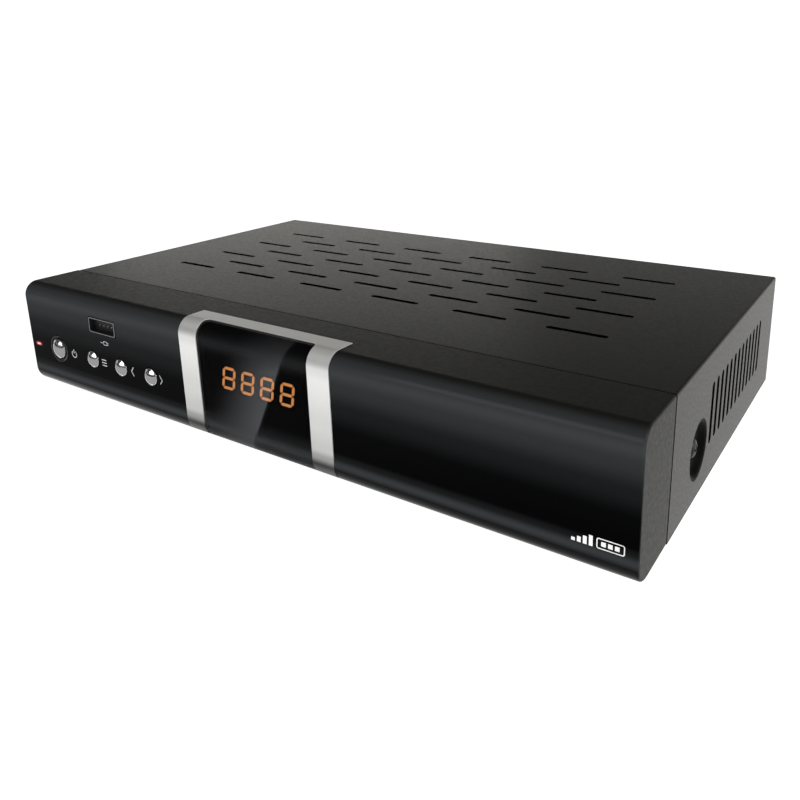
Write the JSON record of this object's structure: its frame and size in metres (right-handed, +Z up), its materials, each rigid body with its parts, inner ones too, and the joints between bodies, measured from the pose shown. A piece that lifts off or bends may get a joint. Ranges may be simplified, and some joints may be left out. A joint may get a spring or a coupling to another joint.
{
  "type": "set-top recorder",
  "caption": "Low, wide set-top recorder: slotted sheet-metal case, gloss black wrapped front with silver-framed window, push buttons and a USB socket.",
  "frame": {"origin": "on the floor under the middle of the object, feet included", "axes": "+X to the object's right as seen from its front, -Y out of the front panel, +Z up"},
  "size_m": [0.28, 0.19, 0.051],
  "materials": {
    "cover_paint": "fine matte powder coat, dark warm grey",
    "bare_steel": "plain zinc-plated sheet",
    "black_zinc": "black zinc-plated screws",
    "front_gloss": "piano black gloss",
    "trim_silver": "satin silver",
    "window_smoked": "smoked, see-through to the lit digits",
    "button_chrome": "satin chrome plated",
    "red_lens": "clear red, lit from behind",
    "black_plastic": "moulded",
    "yellow_plastic": "moulded",
    "white_plastic": "moulded",
    "red_plastic": "moulded",
    "foot_rubber": "soft, matte",
    "board_green": "solder-masked glass-fibre laminate",
    "board_brown": "bare phenolic laminate",
    "heatsink_aluminium": "extruded",
    "ferrite": "taped winding and ferrite core",
    "cap_sleeve": "shrink sleeve",
    "cable_grey": "flat cable"
  },
  "bodies": {
    "case": {"top_cover": "cover_paint", "rear_panel": "cover_paint", "chassis_base": "bare_steel", "front_bezel": "front_gloss", "silver_trim": "trim_silver", "display_window": "window_smoked", "power_button_ring": "button_chrome", "status_light_pipe": "red_lens", "usb_shell": "bare_steel", "usb_tongue": "black_plastic", "foot_front_left": "foot_rubber", "foot_front_right": "foot_rubber", "foot_rear_left": "foot_rubber", "foot_rear_right": "foot_rubber", "side_screw_left": "black_zinc", "side_screw_right": "black_zinc", "rear_screw_1": "bare_steel", "rear_screw_2": "bare_steel", "rear_screw_3": "bare_steel", "front_board": "board_green", "digit_display": "black_plastic", "ir_receiver": "black_plastic", "status_led": "red_lens", "power_switch": "black_plastic", "menu_switch": "black_plastic", "left_switch": "black_plastic", "right_switch": "black_plastic", "main_board": "board_green", "supply_board": "board_brown", "main_chip": "black_plastic", "memory_chip": "black_plastic", "chip_heatsink": "heatsink_aluminium", "supply_heatsink": "heatsink_aluminium", "transformer": "ferrite", "mains_capacitor": "cap_sleeve", "output_capacitor": "cap_sleeve", "ribbon_cable": "cable_grey", "supply_cable": "cable_grey", "tuner_can": "bare_steel", "lnb_in_socket": "button_chrome", "lnb_out_socket": "button_chrome", "lnb_in_nut": "button_chrome", "lnb_out_nut": "button_chrome", "av_block": "black_plastic", "rca_video": "yellow_plastic", "rca_left": "white_plastic", "rca_right": "red_plastic", "hdmi_shell": "bare_steel", "hdmi_tongue": "black_plastic", "lan_socket": "bare_steel", "mains_inlet": "black_plastic", "switch_frame": "black_plastic"},
    "power_button": {"power_button": "button_chrome"},
    "menu_button": {"menu_button": "button_chrome"},
    "left_button": {"left_button": "button_chrome"},
    "right_button": {"right_button": "button_chrome"},
    "power_rocker": {"power_rocker": "black_plastic"}
  },
  "joints": [
    {"name": "power_button_press", "type": "slide", "parent": "case", "child": "power_button", "axis": [0, 1, 0], "range_m": [0, 0.0008], "stiffness_N_per_m": 900},
    {"name": "menu_button_press", "type": "slide", "parent": "case", "child": "menu_button", "axis": [0, 1, 0], "range_m": [0, 0.0008], "stiffness_N_per_m": 900},
    {"name": "left_button_press", "type": "slide", "parent": "case", "child": "left_button", "axis": [0, 1, 0], "range_m": [0, 0.0008], "stiffness_N_per_m": 900},
    {"name": "right_button_press", "type": "slide", "parent": "case", "child": "right_button", "axis": [0, 1, 0], "range_m": [0, 0.0008], "stiffness_N_per_m": 900},
    {"name": "power_rocker_tilt", "type": "hinge", "parent": "case", "child": "power_rocker", "pos_m": [-0.119, 0.084, 0.0205], "axis": [0, 0, 1], "range_deg": [-20, 0]}
  ]
}
